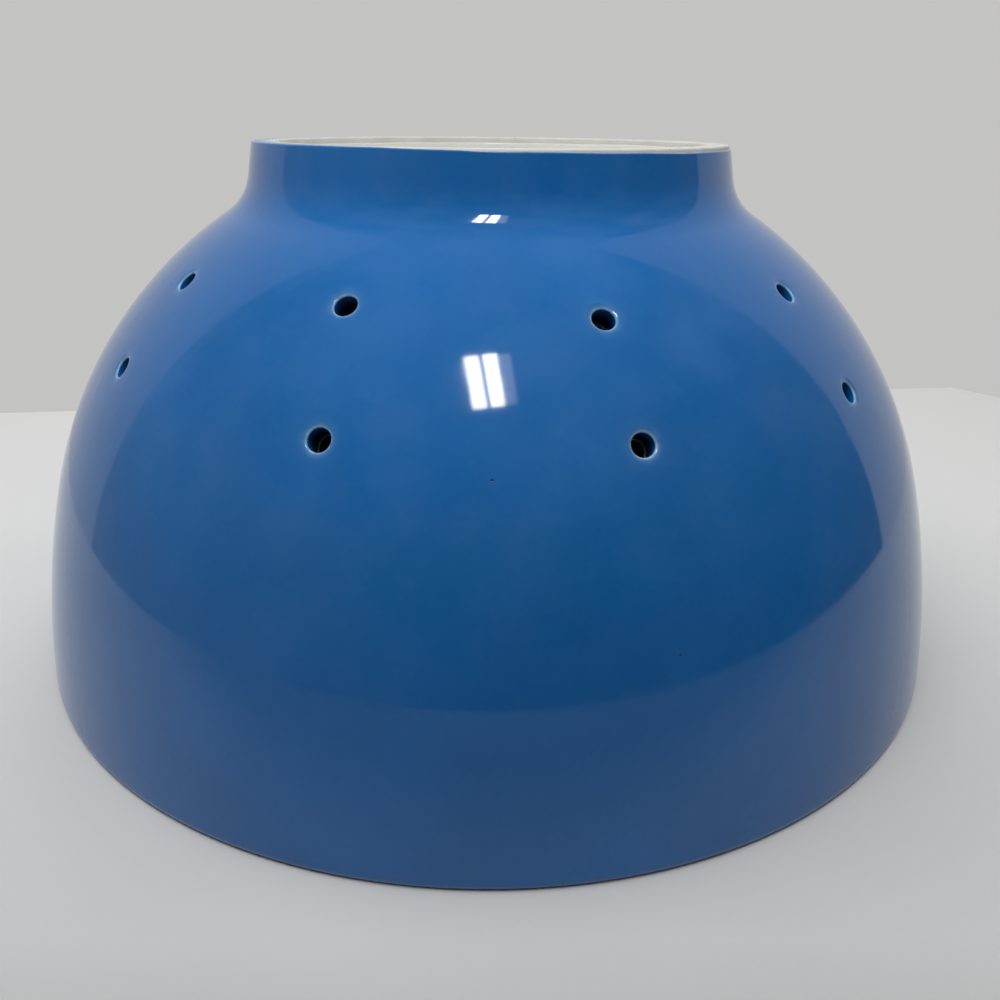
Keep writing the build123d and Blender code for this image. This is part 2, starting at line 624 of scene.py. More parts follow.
class Bench:
    """One mesh that is shaped with Blender's own tools in edit mode."""

    def __init__(self, name: str) -> None:
        """Start a piece as a single point at the origin.

        Args:
            name: Name of the piece.
        """
        bpy.ops.object.select_all(action="DESELECT")
        bpy.ops.mesh.primitive_plane_add(size=MM, enter_editmode=True, location=ORIGIN)
        self.piece: bpy.types.Object = bpy.context.object
        self.piece.name = name
        self.piece.data.name = name
        bpy.ops.mesh.merge(type="CENTER")

    def mesh(self) -> bmesh.types.BMesh:
        """Mesh in edit mode."""
        return bmesh.from_edit_mesh(self.piece.data)

    def refresh(self) -> None:
        """Show Blender what was changed in the mesh."""
        bmesh.update_edit_mesh(self.piece.data)

    def turn(self, points: Sequence[Vector], segments: int, closed: bool = False) -> None:
        """Draw a half section from the single point and spin it about the axis.

        Args:
            points: Places of the half section as radius and height.
            segments: Number of steps round the axis.
            closed: Whether the section closes on itself.
        """
        here = Vector((0.0, 0.0))
        for number, point in enumerate(points):
            step = point - here
            value = (step.x, 0.0, step.y)
            if number == 0:
                bpy.ops.transform.translate(value=value)
            else:
                bpy.ops.mesh.extrude_region_move(TRANSFORM_OT_translate={"value": value})
            here = point
        if closed:
            mesh = self.mesh()
            ends = [vertex for vertex in mesh.verts if len(vertex.link_edges) == 1]
            bpy.ops.mesh.select_all(action="DESELECT")
            for vertex in ends:
                vertex.select_set(True)
            self.refresh()
            bpy.ops.mesh.edge_face_add()
        bpy.ops.mesh.select_all(action="SELECT")
        bpy.ops.mesh.spin(steps=segments, angle=math.tau, center=ORIGIN, axis=UP)
        bpy.ops.mesh.select_all(action="SELECT")
        bpy.ops.mesh.remove_doubles(threshold=0.002 * MM)

    def face_out(self, place: Vector, out: Vector) -> None:
        """Make all faces agree, with the one nearest to a place facing a given way.

        Args:
            place: Where the test face lies.
            out: Direction that it has to face.
        """
        bpy.ops.mesh.select_all(action="SELECT")
        bpy.ops.mesh.normals_make_consistent(inside=False)
        mesh = self.mesh()
        nearest = min(mesh.faces, key=lambda face: (face.calc_center_median() - place).length_squared)
        if nearest.normal.dot(out) < 0.0:
            bpy.ops.mesh.flip_normals()

    def clear_blocks(self, seats: Sequence[Seat]) -> None:
        """Delete the block of faces round each seat.

        Args:
            seats: Places of the holes.
        """
        bpy.ops.mesh.select_mode(type="FACE")
        bpy.ops.mesh.select_all(action="DESELECT")
        for face in self.mesh().faces:
            middle = face.calc_center_median()
            if any(seat.in_block(middle) for seat in seats):
                face.select_set(True)
        self.refresh()
        bpy.ops.mesh.delete(type="FACE")
        bpy.ops.mesh.select_mode(type="EDGE")

    def open_edges(self, mesh: bmesh.types.BMesh, seat: Seat, form: HoleForm, reach: float) -> list[bmesh.types.BMEdge]:
        """Open edges round a seat, apart from the lower end of its bore.

        Args:
            mesh: Mesh in edit mode.
            seat: Place of the hole.
            form: Form of the hole.
            reach: Distance from the seat within which the edges lie.

        Returns:
            The edges of the open block and of a mouth's circle.
        """
        found = []
        for edge in mesh.edges:
            middle = (edge.verts[0].co + edge.verts[1].co) / 2
            if not edge.is_boundary or (middle - seat.origin).length > reach:
                continue
            if seat.split(middle)[0].length > form.bore + 0.2 * form.mouth_round:
                found.append(edge)
        return found

    def bridge_collar(self, seat: Seat, form: HoleForm, reach: float, cuts: int) -> None:
        """Join the open block round a seat to the mouth that stands in it.

        Args:
            seat: Place of the hole.
            form: Form of the hole.
            reach: Distance from the seat within which its open edges lie.
            cuts: Number of rings between block and mouth.
        """
        bpy.ops.mesh.select_all(action="DESELECT")
        mesh = self.mesh()
        for edge in self.open_edges(mesh, seat, form, reach):
            edge.select_set(True)
        self.refresh()
        bpy.ops.mesh.bridge_edge_loops(number_cuts=cuts, interpolation="LINEAR")

    def finish(self) -> bpy.types.Object:
        """Leave edit mode.

        Returns:
            The piece, smooth all over.
        """
        bpy.ops.mesh.select_mode(type="VERT")
        bpy.ops.object.mode_set(mode="OBJECT")
        bpy.ops.object.shade_smooth()
        return self.piece


def mouth_piece(form: HoleForm, sides: int) -> bpy.types.Object:
    """Model the mouth and bore of one hole, facing up at the origin.

    Args:
        form: Form of the hole.
        sides: Number of edges round it.

    Returns:
        The open tube, to be copied to every seat.
    """
    bpy.ops.object.select_all(action="DESELECT")
    bpy.ops.mesh.primitive_circle_add(
        vertices=sides, radius=form.reach(), fill_type="NOTHING", enter_editmode=True
    )
    wide, deep = form.reach(), 0.0
    for radius, depth in form.rings():
        bpy.ops.mesh.extrude_region_move(TRANSFORM_OT_translate={"value": (0.0, 0.0, deep - depth)})
        share = radius / wide
        bpy.ops.transform.resize(value=(share, share, 1.0), center_override=(0.0, 0.0, -depth))
        wide, deep = radius, depth
    bpy.ops.object.mode_set(mode="OBJECT")
    return bpy.context.object


def join_mouths(
    skin: bpy.types.Object, seats: Sequence[Seat], form: HoleForm, sides: Sequence[int], perch: float
) -> None:
    """Copy a mouth to every seat and join the copies to a skin.

    Args:
        skin: The skin, in object mode.
        seats: Places of the holes.
        form: Form of the holes.
        sides: Number of open edges round each seat, which its mouth has to match.
        perch: How far the mouths stand off their seats.
    """
    mouths = {count: mouth_piece(form, count) for count in sorted(set(sides))}
    copies = []
    for seat, count in zip(seats, sides):
        choose([mouths[count]], mouths[count])
        bpy.ops.object.duplicate()
        copy = bpy.context.object
        copy.matrix_world = seat.frame() @ Matrix.Translation((0.0, 0.0, perch))
        copies.append(copy)
    for mouth in mouths.values():
        bpy.data.objects.remove(mouth)
    choose([*copies, skin], skin)
    bpy.ops.object.join()


# The glaze coats


@dataclass
class Coat:
    """One coat of glaze: a turned skin with glazed holes, thickened into the clay.

    Attributes:
        sizes: Sizes of the pot.
        drain: Where the holes stand.
        segments: Steps round the axis.
        spacing: Longest step along the outline.
        collar_reach: Distance from a seat within which its open edges lie.
        settle_reach: Distance across a seat within which the skin is laid on the true surface.
        collar_cuts: Number of rings between an open block and its mouth.
        perch: How far the mouths stand off while they are bridged, because level loops bridge crosswise.
        edge_first: Whether the marks of the drawn edge run from the edge inwards.
        thin_rings: Rings from the drawn edge over which the thinned glaze fades.
        same: Distance within which a vertex counts as lying on a mark.
    """

    sizes: PotSizes = field(default_factory=PotSizes)
    drain: DrainPattern = field(default_factory=DrainPattern)
    segments: int = 240
    spacing: float = 2.2 * MM
    name: str = "coat"
    node: str = ""
    slot: str = ""
    form: HoleForm = field(default_factory=HoleForm)
    collar_reach: float = 14.4 * MM
    settle_reach: float = 12.5 * MM
    collar_cuts: int = 7
    perch: float = 1.0 * MM
    edge_first: bool = False
    thin_rings: float = 5.0
    same: float = 0.01 * MM

    def outline(self) -> Outline:
        """Outline of the finished surface that the coat shows."""
        raise NotImplementedError

    def section(self) -> list[Vector]:
        """Places of the half section that is turned."""
        raise NotImplementedError

    def seats(self) -> list[Seat]:
        """Places of the holes that aren't turned with the skin."""
        raise NotImplementedError

    def test_face(self) -> tuple[Vector, Vector]:
        """A place on the finished surface and the direction out of it."""
        raise NotImplementedError

    def marks(self, azimuth: float) -> list[Vector]:
        """Places of the drawn edge round the foot at an azimuth; a coat without such an edge has none."""
        return []

    def rolled(self, distance: float, depth: float, side: float = 1.0) -> Vector:
        """Place at a distance along the outline, sunk below the finished surface.

        Args:
            distance: Distance from the outline's start.
            depth: Depth below the surface.
            side: 1 where the surface lies to the right of the way along, -1 to the left.

        Returns:
            The place as radius and height.
        """
        step = 0.01 * MM
        outline = self.outline()
        here = outline.at(distance)
        along = (outline.at(distance + step) - outline.at(max(0.0, distance - step))).normalized()
        return here - Vector((along.y, -along.x)) * depth * side

    def row(self, stretch: Stretch) -> float:
        """Step along one stretch of the outline."""
        return stretch.length() / math.ceil(stretch.length() / self.spacing)

    def wall_seats(self, arc: Arc, hollow: bool, rows: int, columns: int) -> list[Seat]:
        """Seats of the wall's holes on the outer or inner shoulder.

        Args:
            arc: Shoulder arc of the outline.
            hollow: Whether the clay lies outside the arc.
            rows: Faces along the outline that each hole takes.
            columns: Faces round the axis that each hole takes.

        Returns:
            One seat for each hole.
        """
        ground = TurnedArc(arc.centre, arc.radius, hollow)
        tall = math.degrees(rows / 2 * self.row(arc) / arc.radius)
        wide = columns / 2 * 360.0 / self.segments
        found = []
        for height, azimuth in self.drain.wall_places():
            rise = self.sizes.shoulder_rise(height)

            def in_block(middle: Vector, rise: float = rise, azimuth: float = azimuth) -> bool:
                """Whether a face lies in the block of rows and columns round the hole."""
                return apart(azimuth_of(middle), azimuth) <= wide and (
                    abs(bearing(arc.centre, folded(middle)) - rise) < tall)

            out = unfolded(lean(rise), azimuth)
            origin = unfolded(arc.centre + lean(rise) * arc.radius, azimuth)
            found.append(Seat(origin, -out if hollow else out, ground, in_block))
        return found

    def base_seats(self, ground: Ground, height: float, out: Vector, reach: float) -> list[Seat]:
        """Seats of the ring of holes in the base.

        Args:
            ground: Surface that they open in.
            height: Height of that surface at the ring.
            out: Direction out of it.
            reach: Half the size of the block that each hole takes.

        Returns:
            One seat for each hole.
        """
        ring = self.drain.base_ring
        wide = math.degrees(reach / ring)
        found = []
        for azimuth in self.drain.base_places():

            def in_block(middle: Vector, azimuth: float = azimuth) -> bool:
                """Whether a face lies in the block round the hole, and not on a bore or wall further off."""
                near = max(abs(folded(middle).x - ring), abs(middle.z - height)) <= reach
                return near and apart(azimuth_of(middle), azimuth) < wide

            origin = unfolded(Vector((ring, height)), azimuth)
            found.append(Seat(origin, out, ground, in_block))
        return found

    def settle(self, bench: Bench, seats: Sequence[Seat]) -> None:
        """Lay the collars and mouths on the true surface, note where the glaze has run thin and paint shade into the
        bores.

        Args:
            bench: The skin in edit mode.
            seats: Places of the holes.
        """
        mesh = bench.mesh()
        thin = mesh.verts.layers.float["thin"]
        limit = self.form.mouth() + 0.02 * MM
        for vertex in mesh.verts:
            for seat in seats:
                if (vertex.co - seat.origin).length > self.collar_reach:
                    continue
                across, rise = seat.split(vertex.co)
                radius = across.length
                if radius > self.settle_reach:
                    continue
                own = rise - self.perch if radius < limit else 0.0
                lift = seat.surface_rise(across) + own - self.form.sink(radius)
                vertex.co = seat.origin + across + seat.out * lift
                vertex[thin] += self.form.thinning(radius, -own)
        bench.refresh()

    def shape_edge(self, bench: Bench) -> None:
        """Draw the edge round the foot as the glaze ran, and note where it has run thin.

        Args:
            bench: The turned skin in edit mode.
        """
        mesh = bench.mesh()
        thin = mesh.verts.layers.float.new("thin")
        level = self.marks(0.0)
        drawn: dict[int, list[Vector]] = {}
        for vertex in mesh.verts if level else ():
            across = folded(vertex.co)
            ring = min(range(len(level)), key=lambda number: (level[number] - across).length)
            if (level[ring] - across).length > self.same:
                continue
            azimuth = azimuth_of(vertex.co)
            step = round(azimuth * self.segments / 360.0)
            if step not in drawn:
                drawn[step] = self.marks(azimuth)
            vertex.co = unfolded(drawn[step][ring], azimuth)
            inwards = ring if self.edge_first else len(level) - 1 - ring
            vertex[thin] = max(0.0, 1.0 - inwards / self.thin_rings)
        bench.refresh()

    def build(self) -> bpy.types.Object:
        """Model the coat.

        Returns:
            The finished piece.
        """
        bench = Bench(self.name)
        bench.turn(self.section(), self.segments)
        self.shape_edge(bench)
        seats = self.seats()
        bench.clear_blocks(seats)
        mesh = bench.mesh()
        sides = [len(bench.open_edges(mesh, seat, self.form, self.collar_reach)) for seat in seats]
        bench.finish()
        join_mouths(bench.piece, seats, self.form, sides, self.perch)
        bpy.ops.object.mode_set(mode="EDIT")
        bpy.ops.mesh.select_mode(type="EDGE")
        for seat in seats:
            bench.bridge_collar(seat, self.form, self.collar_reach, self.collar_cuts)
        self.settle(bench, seats)
        bench.face_out(*self.test_face())
        piece = bench.finish()
        thick = piece.modifiers.new("thickness", "SOLIDIFY")
        thick.thickness = self.sizes.glaze
        thick.offset = -1.0
        thick.use_even_offset = False
        bpy.ops.object.modifier_apply(modifier=thick.name)
        return piece


@dataclass
class BlueCoat(Coat):
    """Blue glaze outside, from the lip to an edge that wavers round the foot, and in the holes of the wall.

    Attributes:
        bare_mean: Bare clay below the foot's crest, on the average round the pot.
        bare_swing: How much more there is on one side and less on the other.
        least_bare: Least that the crest stands above the glaze.
        waves: Waves of the glaze's upper edge.
        band: Length of the outline below the foot's crest that is drawn round the pot.
        band_steps: Rings of that band.
    """

    name: str = "blue_glaze_coat"
    node: str = "blue_outer_glaze"
    slot: str = "blue_glaze"
    bare_mean: float = 0.50 * MM
    bare_swing: float = 0.80 * MM
    least_bare: float = 0.12 * MM
    waves: tuple[Wave, ...] = ((0.10 * MM, 3.0, 0.6), (0.06 * MM, 7.0, 2.0), (0.035 * MM, 17.0, 1.1))
    band: float = 5.0 * MM
    band_steps: int = 6

    def outline(self) -> Outline:
        """Outside of the pot."""
        return self.sizes.outside(0.0)

    def edge_distance(self, azimuth: float) -> float:
        """Distance along the outline of the glaze's upper edge.

        Args:
            azimuth: Azimuth in degrees from the front.

        Returns:
            The distance from the outline's start.
        """
        bare = self.bare_mean + waver(azimuth, ((self.bare_swing, 1.0, 0.0), *self.waves))
        height = self.sizes.height - max(self.least_bare, bare)
        edge = self.outline().stretches[-1]
        total = self.outline().length()
        share = (height - edge.centre.y) / edge.radius
        if share > math.sin(math.radians(edge.start)):
            angle = math.degrees(math.asin(min(1.0, share)))
            return total - edge.length() * (edge.end - angle) / (edge.end - edge.start)
        below = (edge.place(0.0).y - height) / math.cos(math.radians(self.sizes.foot_taper))
        return total - edge.length() - below

    def marks(self, azimuth: float) -> list[Vector]:
        """Places of the band below the glaze's upper edge, and of the edge itself, at an azimuth.

        Args:
            azimuth: Azimuth in degrees from the front.

        Returns:
            The places as radius and height, upwards.
        """
        end = self.edge_distance(azimuth)
        start = self.outline().length() - self.band
        found = []
        for share in shares(self.band_steps):
            drawn = 1.0 - (1.0 - share) ** 1.6
            found.append(self.rolled(start + (end - start) * drawn, 0.0))
        return found + [self.rolled(end + along * MM, depth * MM) for along, depth in EDGE_ROLL]

    def section(self) -> list[Vector]:
        """Outside of the pot from the lip, up to the edge at the foot.

        Returns:
            Places of the half section.
        """
        outline = self.outline()
        start = outline.length() - self.band
        low = [self.rolled(along * MM, depth * MM) for along, depth in LIP_ROLL]
        body = []
        travelled = 0.0
        for before, point in zip(outline.points(self.spacing), outline.points(self.spacing)[1:]):
            travelled += (point - before).length
            if 0.4 * MM < travelled < start - 0.3 * MM:
                body.append(point)
        return low + body + self.marks(0.0)

    def seats(self) -> list[Seat]:
        """Holes of the wall, from outside."""
        return self.wall_seats(self.outline().stretches[2], False, 8, 8)

    def test_face(self) -> tuple[Vector, Vector]:
        """A place on the wall above the rim."""
        return Vector((0.0, -self.sizes.rim_radius, 20.0 * MM)), Vector((0.0, -1.0, 0.0))


@dataclass
class WhiteLining(Coat):
    """White glaze in the bowl, from the lip to the middle hole of the base."""

    name: str = "white_glaze_lining"
    node: str = "white_inside_glaze"
    slot: str = "white_glaze"
    segments: int = 200
    form: HoleForm = field(default_factory=lambda: HoleForm(
        lip=0.0, lip_turn=0.0, apron=0.6 * MM, depth=0.6 * MM, dip=0.0,
        apron_steps=1, lip_steps=0, round_steps=5, tube_steps=1))
    collar_reach: float = 12.5 * MM
    settle_reach: float = 6.0 * MM
    collar_cuts: int = 3

    def outline(self) -> Outline:
        """Inside of the bowl."""
        return self.sizes.inside(0.0)

    def section(self) -> list[Vector]:
        """Inside of the bowl from the lip, and the lip of the middle hole.

        Returns:
            Places of the half section.
        """
        low = [self.rolled(along * MM, depth * MM, -1.0) for along, depth in LIP_ROLL]
        travelled = 0.0
        body = []
        points = self.outline().points(self.spacing)
        for before, point in zip(points, points[1:]):
            travelled += (point - before).length
            if travelled > 0.4 * MM and point.x > self.form.reach() + 0.3 * MM:
                body.append(point)
        top = self.outline().stretches[-1].place(1.0).y
        body.append(Vector((self.form.reach(), top)))
        return low + body + [Vector((radius, top + depth)) for radius, depth in self.form.rings()]

    def crown_seats(self) -> list[Seat]:
        """Holes of the ring in the base, from inside the bowl.

        Returns:
            One seat for each hole.
        """
        crown = self.outline().stretches[-1]
        ring = self.drain.base_ring
        height = crown.centre.y + math.sqrt(crown.radius**2 - ring**2)
        ground = TurnedArc(crown.centre, crown.radius, True)
        return self.base_seats(ground, height, -UP, 5.6 * MM)

    def seats(self) -> list[Seat]:
        """Holes of the wall and of the base, from inside."""
        return self.wall_seats(self.outline().stretches[2], True, 6, 6) + self.crown_seats()

    def test_face(self) -> tuple[Vector, Vector]:
        """A place on the inner wall above the rim."""
        return Vector((0.0, -self.sizes.rim_radius, 20.0 * MM)), Vector((0.0, 1.0, 0.0))


@dataclass
class RecessCoat(Coat):
    """White glaze in the hollow of the foot and in the holes of the base.

    Attributes:
        bare: Bare clay below the foot's crest, on its inner side.
        waves: Waves of the glaze's edge there.
    """

    name: str = "white_glaze_foot_recess"
    node: str = "white_foot_recess_glaze"
    slot: str = "white_glaze"
    segments: int = 200
    spacing: float = 1.6 * MM
    bare: float = 1.8 * MM
    waves: tuple[Wave, ...] = ((0.09 * MM, 2.0, 1.0), (0.05 * MM, 5.0, 0.0), (0.03 * MM, 13.0, 0.0))
    edge_first: bool = True
    form: HoleForm = field(default_factory=lambda: HoleForm(
        lip=1.6 * MM, apron=1.0 * MM, depth=6.9 * MM, apron_steps=2))
    collar_reach: float = 11.0 * MM
    settle_reach: float = 7.5 * MM
    collar_cuts: int = 3

    def outline(self) -> Outline:
        """Hollow of the foot."""
        return self.sizes.recess(0.0)

    def start(self, azimuth: float) -> float:
        """Distance along the outline of the glaze's edge, at an azimuth in degrees from the front.

        Args:
            azimuth: The azimuth.

        Returns:
            The distance from the outline's start.
        """
        edge = self.outline().stretches[0]
        drop = edge.place(1.0).y - (self.sizes.height - self.bare - waver(azimuth, self.waves))
        return edge.length() + drop / math.cos(math.radians(self.sizes.foot_draft))

    def marks(self, azimuth: float) -> list[Vector]:
        """Places of the rolled edge at an azimuth.

        Args:
            azimuth: Azimuth in degrees from the front.

        Returns:
            The places as radius and height, from the edge inwards.
        """
        start = self.start(azimuth)
        steps = [(-along, depth) for along, depth in EDGE_ROLL[::-1]] + [(0.0, 0.0), (0.5, 0.0)]
        return [self.rolled(start + along * MM, depth * MM) for along, depth in steps]

    def section(self) -> list[Vector]:
        """Hollow of the foot from the glaze's edge to the middle hole.

        Returns:
            Places of the half section.
        """
        points = self.outline().points(self.spacing)
        limit = self.sizes.height - self.bare - 1.2 * MM
        body = [point for point in points if point.y < limit and point.x > self.form.reach() + 0.3 * MM]
        floor = self.outline().stretches[-1].place(1.0).y
        body.append(Vector((self.form.reach(), floor)))
        return self.marks(0.0) + body + [Vector((radius, floor - depth)) for radius, depth in self.form.rings()]

    def seats(self) -> list[Seat]:
        """Holes of the ring in the base, from the hollow of the foot."""
        floor = self.outline().stretches[-1].place(1.0).y
        return self.base_seats(Level(floor), floor, UP, 6.0 * MM)

    def test_face(self) -> tuple[Vector, Vector]:
        """A place on the floor of the hollow."""
        floor = self.outline().stretches[-1].place(1.0).y
        return Vector((0.0, -40.0 * MM, floor)), UP


@dataclass
class ClayBody:
    """Fired clay under the glaze, bare on the foot's crest and under the lip.

    Attributes:
        sizes: Sizes of the pot.
        drain: Where the holes stand.
        segments: Steps round the axis.
        spacing: Longest step along the section.
        bore: Radius of the holes in the clay.
        wash_middle: Azimuth in degrees of the middle of the film of glaze on the foot's crest.
        wash_half: Half of the angle that the film covers.
        wash_height: Height below the foot's crest within which the film lies.
        wash_fade: Width over which it grows from the crest's inner side.
        sharp: Angle in degrees beyond which an edge stays sharp.
    """

    sizes: PotSizes = field(default_factory=PotSizes)
    drain: DrainPattern = field(default_factory=DrainPattern)
    segments: int = 200
    spacing: float = 3.2 * MM
    bore: float = 2.7 * MM
    wash_middle: float = -80.0
    wash_half: float = 62.0
    wash_height: float = 2.0 * MM
    wash_fade: float = 1.6 * MM
    sharp: float = 40.0
    name: str = "stoneware_pot"
    node: str = "stoneware_body"
    slot: str = "stoneware"

    def section(self) -> list[Vector]:
        """Whole section of the clay: up the outside, over the foot, down the middle hole and back along the inside.

        Returns:
            Places of the half section, which closes on itself.
        """
        inset = self.sizes.glaze
        outer = self.sizes.outside(inset).points(self.spacing)
        hollow = self.sizes.recess(inset).points(self.spacing)
        inner = self.sizes.inside(inset).points(self.spacing)
        hollow = [point for point in hollow if point.x > self.bore + 0.5 * MM]
        inner = [point for point in inner if point.x > self.bore + 0.5 * MM]
        hollow.append(Vector((self.bore, hollow[-1].y)))
        inner.append(Vector((self.bore, inner[-1].y)))
        return outer + hollow + inner[::-1]

    def wash(self, piece: bpy.types.Object) -> None:
        """Note where a film of blue glaze washed over the foot's crest, on the left and at its outer corner.

        Args:
            piece: The clay in object mode.
        """
        film = piece.data.attributes.new("wash", "FLOAT", "POINT")
        crest = self.sizes.foot_radius - self.sizes.foot_wall + self.sizes.foot_edge
        for vertex, value in zip(piece.data.vertices, film.data):
            reach = math.hypot(vertex.co.x, vertex.co.y)
            if vertex.co.z < self.sizes.height - self.wash_height or reach < crest:
                continue
            turn = apart(azimuth_of(vertex.co), self.wash_middle) / self.wash_half
            value.value = max(0.0, min(1.0, 3.0 * (1.0 - turn))) * min(1.0, (reach - crest) / self.wash_fade)

    def cutters(self) -> bpy.types.Object:
        """Straight cutters for the holes of the wall and the ring of the base.

        Returns:
            One object that holds them all.
        """
        places = []
        for height, azimuth in self.drain.wall_places():
            out = lean(self.sizes.shoulder_rise(height))
            place = self.sizes.upper_centre() + out * (self.sizes.upper_radius - self.sizes.wall / 2)
            places.append((unfolded(place, azimuth), unfolded(out, azimuth)))
        middle = self.sizes.height - self.sizes.recess_depth - self.sizes.base / 2
        for azimuth in self.drain.base_places():
            places.append((unfolded(Vector((self.drain.base_ring, middle)), azimuth), UP))
        made = []
        for place, out in places:
            bpy.ops.mesh.primitive_cylinder_add(
                vertices=32, radius=self.bore, depth=3 * self.sizes.wall, location=place,
                rotation=out.to_track_quat("Z", "Y").to_euler(),
            )
            made.append(bpy.context.object)
        choose(made, made[0])
        bpy.ops.object.join()
        return bpy.context.object

    def build(self) -> bpy.types.Object:
        """Model the clay.

        Returns:
            The finished piece.
        """
        bench = Bench(self.name)
        bench.turn(self.section(), self.segments, closed=True)
        crest = self.sizes.foot_radius - self.sizes.foot_wall / 2
        bench.face_out(Vector((0.0, crest, self.sizes.height)), UP)
        piece = bench.finish()
        self.wash(piece)
        cutters = self.cutters()
        choose([piece], piece)
        drill = piece.modifiers.new("holes", "BOOLEAN")
        drill.operation = "DIFFERENCE"
        drill.solver = "EXACT"
        drill.object = cutters
        bpy.ops.object.modifier_apply(modifier=drill.name)
        bpy.data.objects.remove(cutters)
        bpy.ops.object.shade_smooth_by_angle(angle=math.radians(self.sharp))
        return piece


# Finishes


class NodeTree:
    """Nodes of a material or a world, added one by one."""

    def __init__(self, owner: Union[bpy.types.Material, bpy.types.World]) -> None:
        """Start with no nodes.

        Args:
            owner: Material or world that the nodes belong to.
        """
        owner.use_nodes = True
        self.tree = owner.node_tree
        self.tree.nodes.clear()

    def add(self, kind: str, inputs: Optional[dict] = None, **settings: object) -> bpy.types.Node:
        """Add a node.

        Args:
            kind: Blender's name for the node.
            inputs: Value or source of each input, by name or number.
            **settings: Properties of the node.

        Returns:
            The node.
        """
        node = self.tree.nodes.new(kind)
        for name, value in settings.items():
            setattr(node, name, value)
        for name, value in (inputs or {}).items():
            if isinstance(value, bpy.types.NodeSocket):
                self.tree.links.new(value, node.inputs[name])
            else:
                node.inputs[name].default_value = value
        return node

    def sum(
        self, kind: str, first: bpy.types.NodeSocket, second: Union[bpy.types.NodeSocket, float]
    ) -> bpy.types.NodeSocket:
        """Combine two patterns, or a pattern and a number.

        Args:
            kind: Blender's name for the operation.
            first: A pattern.
            second: A pattern or a number.

        Returns:
            The result.
        """
        return self.add("ShaderNodeMath", {0: first, 1: second}, operation=kind).outputs["Value"]


class Recipe(NodeTree):
    """Node material that is mixed step by step, with patterns that follow the piece's own place."""

    def __init__(self, name: str) -> None:
        """Start a material.

        Args:
            name: Name of the material.
        """
        self.material: bpy.types.Material = bpy.data.materials.new(name)
        super().__init__(self.material)
        self.place = self.add("ShaderNodeTexCoord").outputs["Object"]

    def noise(self, size: float, detail: float = 2.0) -> bpy.types.NodeSocket:
        """Soft uneven pattern from about 0 to 1.

        Args:
            size: Size of its patches.
            detail: Finer layers in it.

        Returns:
            The pattern.
        """
        inputs = {"Vector": self.place, "Scale": 1.0 / size, "Detail": detail}
        return self.add("ShaderNodeTexNoise", inputs).outputs["Fac"]

    def spots(self, cell: float, radius: float, share: float) -> bpy.types.NodeSocket:
        """Sparse round spots: 1 in a spot and 0 around it.

        Args:
            cell: Size of the cells that may hold a spot each.
            radius: Radius of the largest spots.
            share: Share of the cells that hold one.

        Returns:
            The pattern.
        """
        cells = self.add("ShaderNodeTexVoronoi", {"Vector": self.place, "Scale": 1.0 / cell})
        edge = radius / cell
        round_spot = self.span(cells.outputs["Distance"], edge, 0.55 * edge)
        draw = self.add("ShaderNodeSeparateColor", {"Color": cells.outputs["Color"]}).outputs["Red"]
        chosen = self.sum("LESS_THAN", draw, share)
        return self.sum("MULTIPLY", round_spot, chosen)

    def span(
        self, source: bpy.types.NodeSocket, low: float, high: float, start: float = 0.0, end: float = 1.0
    ) -> bpy.types.NodeSocket:
        """Stretch a range of a pattern to another range.

        Args:
            source: The pattern.
            low: Value that becomes the start.
            high: Value that becomes the end.
            start: Result at and before the low value.
            end: Result at and beyond the high value.

        Returns:
            The new pattern.
        """
        inputs = {"Value": source, "From Min": low, "From Max": high, "To Min": start, "To Max": end}
        return self.add("ShaderNodeMapRange", inputs).outputs["Result"]

    def blend(
        self, factor: bpy.types.NodeSocket,
        first: Union[bpy.types.NodeSocket, Colour], second: Union[bpy.types.NodeSocket, Colour],
    ) -> bpy.types.NodeSocket:
        """Blend two colours.

        Args:
            factor: Share of the second colour.
            first: First colour.
            second: Second colour.

        Returns:
            The blended colour.
        """
        pair = [(*value, 1.0) if isinstance(value, tuple) else value for value in (first, second)]
        node = self.add("ShaderNodeMix", {0: factor, 6: pair[0], 7: pair[1]}, data_type="RGBA")
        return node.outputs[2]

    def relief(self, layers: Sequence[tuple[bpy.types.NodeSocket, float]]) -> bpy.types.NodeSocket:
        """Surface relief from patterns and their heights.

        Args:
            layers: Each pattern with the height that it rises from 0 to 1.

        Returns:
            The normal of the surface.
        """
        total = self.sum("MULTIPLY", layers[0][0], layers[0][1])
        for pattern, height in layers[1:]:
            total = self.sum("ADD", total, self.sum("MULTIPLY", pattern, height))
        node = self.add("ShaderNodeBump", {"Height": total, "Distance": 1.0, "Strength": 1.0})
        return node.outputs["Normal"]

    def surface(self, inputs: dict) -> bpy.types.Material:
        """Finish the material with one surface shader.

        Args:
            inputs: Inputs of the shader.

        Returns:
            The material.
        """
        shader = self.add("ShaderNodeBsdfPrincipled", inputs)
        self.add("ShaderNodeOutputMaterial", {"Surface": shader.outputs["BSDF"]})
        return self.material


